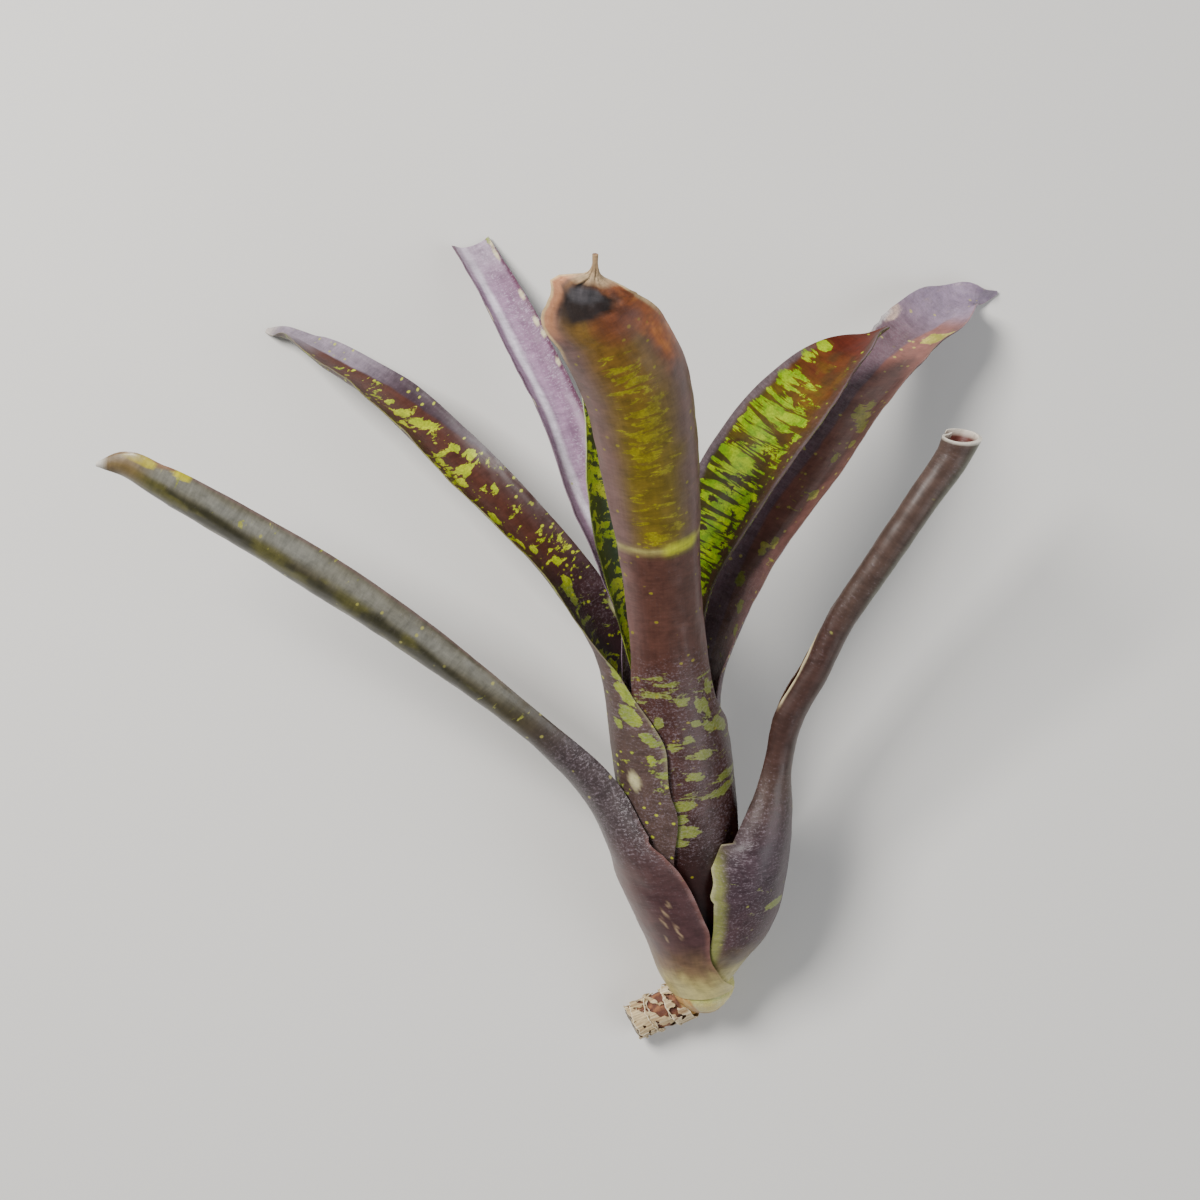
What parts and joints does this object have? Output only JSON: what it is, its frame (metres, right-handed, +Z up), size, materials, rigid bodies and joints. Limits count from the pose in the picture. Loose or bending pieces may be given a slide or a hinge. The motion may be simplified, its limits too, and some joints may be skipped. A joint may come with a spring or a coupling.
{
  "type": "bromeliad plant",
  "caption": "Young rosette bromeliad with channelled strap leaves on a short cut runner, bare-rooted and lying on its back leaf tips.",
  "frame": {"origin": "the centre of the bounding box's footprint, on the surface that the plant lies on", "axes": "+Z is up from the surface, +Y runs along the plant from the cut runner to the leaf tips, +X is towards the right side leaves when the plant is seen from above with its tips up the page"},
  "size_m": [0.2056, 0.196, 0.1141],
  "materials": {
    "leaf_outer_left": "olive and brown leaf back with grey scale scurf, satin",
    "leaf_outer_right": "dark brown and purple grey leaf back, satin",
    "leaf_left": "maroon leaf face with lime spots and lilac scale scurf, satin",
    "leaf_front": "olive brown leaf back with a dried orange tip, satin",
    "leaf_right": "maroon leaf face with lilac scale scurf and lime spots, satin",
    "leaf_back": "silvery lilac leaf face, satin",
    "leaf_inner_right": "lime leaf face with dark cross streaks, satin",
    "leaf_inner_back": "olive and lime leaf face, satin",
    "leaf_heart": "pale lime young leaf, satin",
    "stem": "pale fleshy crown and cut runner, matt",
    "bracts": "dry papery scale leaves, matt"
  },
  "bodies": {
    "root": {"leaf_outer_left": "leaf_outer_left", "leaf_outer_right": "leaf_outer_right", "leaf_left": "leaf_left", "leaf_front": "leaf_front", "leaf_right": "leaf_right", "leaf_back": "leaf_back", "leaf_inner_right": "leaf_inner_right", "leaf_inner_back": "leaf_inner_back", "leaf_heart": "leaf_heart", "stem": "stem", "bract_collar": "bracts", "bract_upper": "bracts", "bract_middle": "bracts", "bract_lower": "bracts"}
  },
  "joints": []
}
